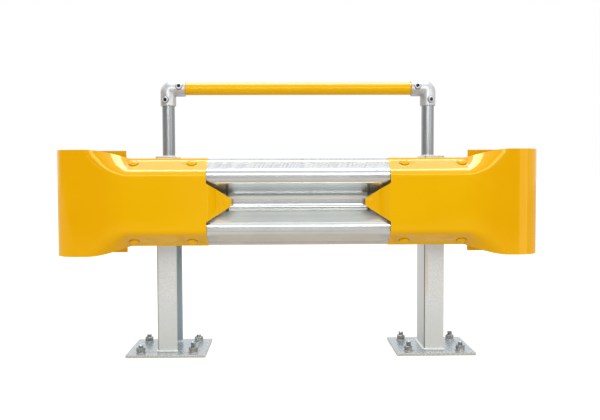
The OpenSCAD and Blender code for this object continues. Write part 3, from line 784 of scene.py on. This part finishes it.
def bead(name, paths, r, side, node):
    """A weld bead laid along each path, rippled where each drop of weld froze."""
    spacing = 0.0011
    curve = bpy.data.curves.new(name, "CURVE")
    curve.dimensions, curve.bevel_depth, curve.bevel_resolution = "3D", r, 3
    curve.use_fill_caps = True
    for path in paths:
        fine = [path[0]]
        for a, b in zip(path, path[1:]):
            steps = max(1, round((b - a).length / spacing))
            fine += [a.lerp(b, (k + 1) / steps) for k in range(steps)]
        spline = curve.splines.new("POLY")
        spline.points.add(len(fine) - 1)
        for k, (point, at) in enumerate(zip(spline.points, fine)):
            ripple = abs(math.sin(k * 0.62 + 0.5 * math.sin(k * 0.11)))
            swell = math.sin(k * 0.047) + 0.6 * math.sin(k * 0.13 + 1.0)
            point.co = (*at, 1.0)
            point.radius = 0.84 + 0.16 * ripple + 0.07 * swell
    drawn = bpy.data.objects.new(name, curve)
    bpy.context.scene.collection.objects.link(drawn)
    shape = drawn.evaluated_get(bpy.context.evaluated_depsgraph_get())
    bm = bmesh.new()
    bm.from_mesh(shape.to_mesh())
    shape.to_mesh_clear()
    bpy.data.objects.remove(drawn)
    bmesh.ops.remove_doubles(bm, verts=bm.verts, dist=TINY)
    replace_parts(solid(name, bm, weld_zinc, sharp=60), side + node)


def foot_weld(side):
    """Fillet round the outside of the channel's foot, and along the back flange's inside."""
    low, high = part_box(side + "_post")
    out, up, bead_r = 0.0018, 0.0022, 0.0046
    past_edge, short_of_edge, from_web = 0.002, 0.001, 0.035
    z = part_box(side + "_base_plate")[1][2] + up

    def corner(y, start, steps=10):
        turns = [math.radians(start + 90 // steps * k) for k in range(steps, -1, -1)]
        return [Vector((left + CHANNEL_R + (CHANNEL_R + out) * math.cos(turn),
                        y + (CHANNEL_R + out) * math.sin(turn), z)) for turn in turns]

    front, back, left, right = low[1] - out, high[1] + out, low[0], high[0]
    outside = [Vector((right + past_edge, front, z)), Vector((left + CHANNEL_R, front, z)),
               *corner(low[1] + CHANNEL_R, 180), *corner(high[1] - CHANNEL_R, 90),
               Vector((right + past_edge, back, z))]
    inner = high[1] - CHANNEL_T - out
    inside = [Vector((right - short_of_edge, inner, z)), Vector((left + from_web, inner, z))]
    bead(side + "_foot_weld_bead", [outside, inside], bead_r, side, "_foot_weld")


def upright_weld(side):
    """Fillet round the tube where it stands on the post's top plate."""
    low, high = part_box(side + "_upright")
    out, up, bead_r, steps = 0.0012, 0.0014, 0.0036, 72
    r = (high[0] - low[0]) / 2 + out
    middle = Vector(((low[0] + high[0]) / 2, (low[1] + high[1]) / 2, low[2] + up))
    turns = [math.tau * k / steps for k in range(steps + 1)]
    ring = [middle + Vector((r * math.cos(turn), r * math.sin(turn), 0)) for turn in turns]
    bead(side + "_upright_weld_bead", [ring], bead_r, side, "_upright_weld")


# ---- anchors ----

def anchors(side):
    """Washers, nuts and threaded studs that hold one base plate to the floor."""
    low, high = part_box(side + "_base_plate")
    foot, chamfer = 0.002, 0.00075
    washers, nuts, studs = bmesh.new(), bmesh.new(), bmesh.new()
    corners = [(x, y) for y in (-1, 1) for x in (-1, 1)]
    for k, ((x, y), top) in enumerate(zip(corners, STUD_TOPS[side])):
        place = Vector(((low[0] + high[0]) / 2 + x * ANCHOR_SPACING / 2,
                        (low[1] + high[1]) / 2 + y * ANCHOR_SPACING / 2, high[2]))
        on_washer = place + Vector((0, 0, WASHER_T))
        set_down(washers, washer(WASHER_D, WASHER_HOLE, WASHER_T), place)
        set_down(nuts, hex_nut(M20_FLATS, ANCHOR_NUT_H, ANCHOR_NUT_HOLE), on_washer,
                 turn=0.35 + 0.6 * k)
        set_down(studs, threaded_rod(*M20, foot, top - high[2] - chamfer), place)
    solid(side + "_anchor_washers", washers, washer_zinc)
    solid(side + "_anchor_nuts", nuts, nut_zinc)
    solid(side + "_anchor_studs", studs, stud_zinc)


# ---- the object ----

for side in SIDES:
    finished(side + "_end_cap", yellow)
    eased(finished(side + "_base_plate", plate_finish), PLATE_EASE)
    eased(finished(side + "_post_cap", plate_finish), POST_CAP_EASE)
    finished(side + "_post", post_finish[side])
    finished(side + "_spacer", post_finish[side])
    foot_weld(side)
    upright_weld(side)
    finished(side + "_upright", tube_zinc)
    finished(side + "_elbow", cast_zinc)
    coat(side + "_set_screws", black_oxide)
    screw_collars(side)
    cap_bolts(side)
    beam_bolt(side)
    tongue_bolt(side)
    spacer_bolts(side)
    anchors(side)
finished("beam", beam_zinc)
finished("handrail", yellow)


# ---- studio ----

def ground():
    """A wide pale floor, most of it behind the object."""
    half, behind = 30.0, 24.5
    bm = bmesh.new()
    bmesh.ops.create_grid(bm, x_segments=1, y_segments=1, size=half)
    bmesh.ops.translate(bm, verts=bm.verts, vec=(0.0, behind, 0.0))
    mesh = bpy.data.meshes.new("floor")
    bm.to_mesh(mesh)
    bm.free()
    floor = bpy.data.objects.new("floor", mesh)
    bpy.context.scene.collection.objects.link(floor)
    paint = Paint("pale_floor", Base_Color=(0.56, 0.54, 0.50, 1.0), Roughness=0.9,
                  Specular_IOR_Level=0.1, Emission_Color=(0.97, 0.98, 1.0, 1.0))
    glow = 0.62
    seen = paint.node("ShaderNodeLightPath", {}, {}, "Is Camera Ray")
    paint.set("Emission Strength", seen * glow)
    mesh.materials.append(paint.material)


def surroundings():
    """The world is white to the camera. Reflections find it brightest behind the object, a
    little less bright above and dim in front, as in a studio with one end unlit; plain light
    comes a little more from above."""
    world = bpy.data.worlds.new("studio")
    bpy.context.scene.world = world
    world.use_nodes = True
    world.cycles.sampling_method = "NONE"
    sky = Nodes(world.node_tree)
    x, y, z = sky.split(sky.node("ShaderNodeTexCoord", {}, {}, "Generated"))
    front_dim, front_strip, above_white, behind_white, rise = 0.10, 0.52, 0.85, 1.05, 0.35
    behind = sky.band(x * 0.5 + y, -0.5, 0.3)
    height = sky.band(z, 0.1, 0.4)
    low = front_dim + sky.near(x, 0.0, 0.09, 0.15) * front_strip
    ahead = low * (1.0 - height) * (1.0 - behind) + height * above_white * (1.0 - behind)
    reflected = ahead + behind * behind_white
    rays = sky.node("ShaderNodeLightPath", {}, {}).socket.node
    camera_ray, glossy, through = [Value(sky, rays.outputs["Is " + kind + " Ray"])
                                   for kind in ("Camera", "Glossy", "Transmission")]
    straight = camera_ray.most(through)
    mirror = glossy * (1.0 - straight)
    plain = 1.0 - straight.most(glossy)
    background = world.node_tree.nodes["Background"].inputs
    sky.put(background["Strength"], straight + mirror * reflected + plain * (1.0 + z * rise))
    sky.put(background["Color"], (1.0, 1.0, 1.0, 1.0))


def softbox(name, place, aim, size, level):
    """A rectangular lamp whose surface is as bright as level says."""
    lamp = bpy.data.lights.new(name, "AREA")
    lamp.shape = "RECTANGLE"
    lamp.size, lamp.size_y = size
    lamp.energy = level * math.pi * size[0] * size[1]
    made = bpy.data.objects.new(name, lamp)
    made.location = place
    made.rotation_euler = (Vector(aim) - Vector(place)).to_track_quat("-Z", "Y").to_euler()
    made.visible_diffuse = False
    bpy.context.scene.collection.objects.link(made)


def camera():
    """The fitted camera, with its turns in radians and its lens in millimetres."""
    place, lens, sensor = (-0.0541, -3.0696, 0.7000), 48.5382, 36.0
    yaw, pitch, roll = 0.0207, 0.0484, -0.0036
    ahead = Vector((math.sin(yaw) * math.cos(pitch), math.cos(yaw) * math.cos(pitch),
                    -math.sin(pitch)))
    right = Vector((math.cos(yaw), -math.sin(yaw), 0.0))
    up = right.cross(ahead)
    across = right * math.cos(roll) + up * math.sin(roll)
    above = up * math.cos(roll) - right * math.sin(roll)
    made = bpy.data.objects.new("camera", bpy.data.cameras.new("camera"))
    made.data.sensor_width, made.data.lens = sensor, lens
    turn = Matrix((across, above, -ahead)).transposed()
    made.matrix_world = Matrix.Translation(place) @ turn.to_4x4()
    bpy.context.scene.collection.objects.link(made)
    bpy.context.scene.camera = made


ground()
surroundings()
# Name, place, the point it looks at, width and height, brightness
softbox("overhead", (0.1, 0.45, 2.75), (0.1, 0.449, 0.6), (2.2, 1.2), 6.0)
softbox("front", (0.0, -5.2, 2.05), (0.0, 0.0, 0.6), (4.0, 1.0), 6.0)
softbox("low front", (0.0, -5.6, 1.02), (0.0, 0.0, 0.6), (4.0, 0.06), 3.0)
softbox("side window", (2.85, -2.5, 0.9), (0.8, -0.2, 0.6), (2.1, 1.9), 1.7)
camera()
bpy.context.scene.view_settings.view_transform = "Standard"
